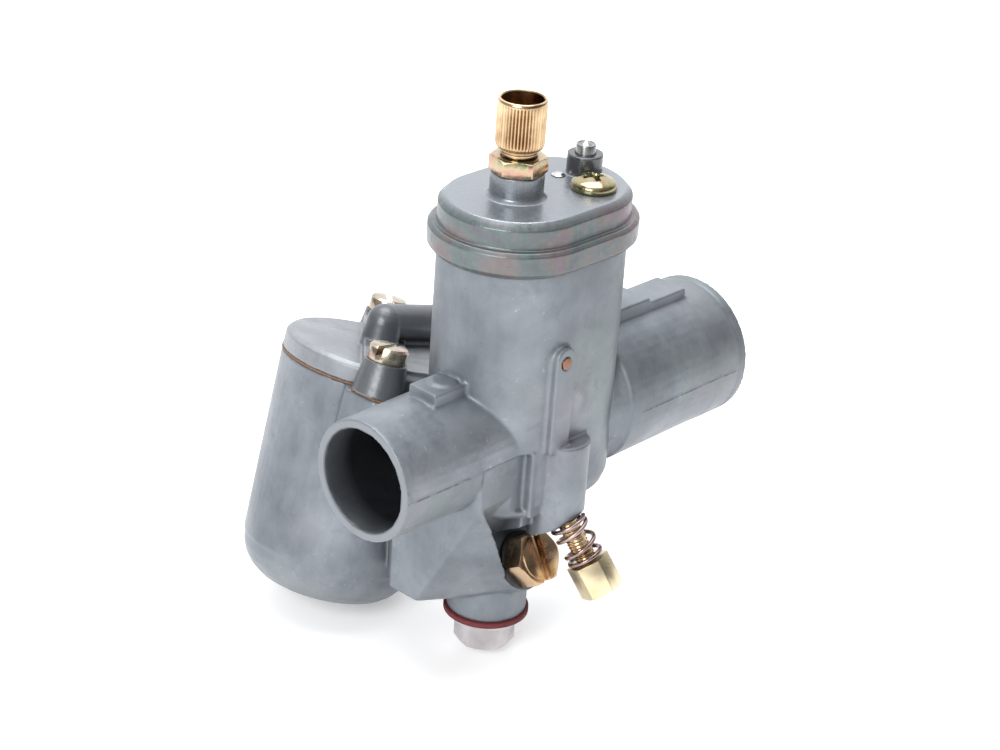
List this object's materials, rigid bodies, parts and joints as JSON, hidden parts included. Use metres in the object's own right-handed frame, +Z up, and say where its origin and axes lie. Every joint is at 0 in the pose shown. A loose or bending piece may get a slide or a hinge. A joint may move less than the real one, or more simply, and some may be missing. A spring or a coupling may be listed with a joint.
{
  "type": "carburetor",
  "caption": "Small-engine slide carburetor with a leaning side float chamber, a capped mixing chamber, a cable adjuster and a plain tube at each end of its air passage.",
  "frame": {"origin": "centre of the engine-side socket's mouth, on the axis of the air passage", "axes": "+X along the air passage from the engine side to the air-filter neck, +Z up the throttle slide, -Y the side with the adjusting screws, +Y the float chamber's side"},
  "size_m": [0.099, 0.0859, 0.1211],
  "materials": {
    "casting": "matt grey zinc die casting",
    "cap": "grey die casting with a faint yellow-green passivated sheen",
    "fibre": "orange-brown gasket paper",
    "dark_fibre": "dark gasket paper",
    "red_fibre": "red vulcanised fibre",
    "yellow_zinc": "yellow passivated zinc plating",
    "brass": "turned brass",
    "dark_brass": "darkened turned brass",
    "pale_brass": "bright pale brass",
    "steel": "bright steel",
    "dark_steel": "dark spring steel",
    "pale_aluminium": "pale machined aluminium",
    "slide_metal": "machined grey alloy",
    "rubber": "black nitrile seal",
    "float": "off-white moulded plastic"
  },
  "bodies": {
    "carburetor": {"body": "casting", "chamber_cap": "cap", "cap_gasket": "dark_fibre", "cap_screw": "yellow_zinc", "cap_pin": "steel", "adjuster_locknut": "yellow_zinc", "throttle_spring": "steel", "slide_guide_pin": "dark_brass", "starter_spring": "steel", "needle_jet": "brass", "main_jet": "brass", "bottom_plug": "pale_aluminium", "bottom_plug_gasket": "red_fibre", "idle_jet": "dark_brass", "idle_jet_seal": "rubber", "throttle_stop_spring": "dark_steel", "float_cover": "casting", "float_cover_gasket": "fibre", "float_cover_screws": "yellow_zinc", "fuel_nipple": "pale_brass", "needle_seat": "brass", "float_hinge_pin": "steel"},
    "throttle": {"throttle_slide": "slide_metal", "jet_needle": "pale_brass", "needle_clip": "steel"},
    "starter": {"starter_plunger": "brass", "starter_pin": "steel"},
    "adjuster": {"cable_adjuster": "brass"},
    "stop_screw": {"throttle_stop_screw": "pale_brass"},
    "float": {"float_body": "float"},
    "inlet_needle": {"float_needle": "steel"}
  },
  "joints": [
    {"name": "throttle_lift", "type": "slide", "parent": "carburetor", "child": "throttle", "axis": [0, 0, 1], "range_m": [0, 0.017], "stiffness_N_per_m": 120, "springref_m": -0.03, "deforming": ["throttle_spring"]},
    {"name": "starter_lift", "type": "slide", "parent": "carburetor", "child": "starter", "axis": [0, 0, 1], "range_m": [0, 0.012], "stiffness_N_per_m": 60, "springref_m": -0.02, "deforming": ["starter_spring"]},
    {"name": "adjuster_turn", "type": "hinge", "parent": "carburetor", "child": "adjuster", "pos_m": [0.0382, 0, 0.06], "axis": [0, 0, 1], "range_deg": [-360, 360]},
    {"name": "stop_screw_turn", "type": "hinge", "parent": "carburetor", "child": "stop_screw", "pos_m": [0.0418, -0.0168, -0.0164], "axis": [0.224, -0.4803, -0.848], "range_deg": [-360, 360]},
    {"name": "float_hinge", "type": "hinge", "parent": "carburetor", "child": "float", "pos_m": [0.0457, 0.036, -0.01211], "axis": [0, 1, 0], "range_deg": [0, 7]},
    {"name": "inlet_needle_slide", "type": "slide", "parent": "carburetor", "child": "inlet_needle", "axis": [0.2924, 0, 0.9563], "range_m": [0, 0.0014]}
  ],
  "couplings": [
    {"joint": "inlet_needle_slide", "follows": "float_hinge", "m_per_rad": 0.0111}
  ]
}
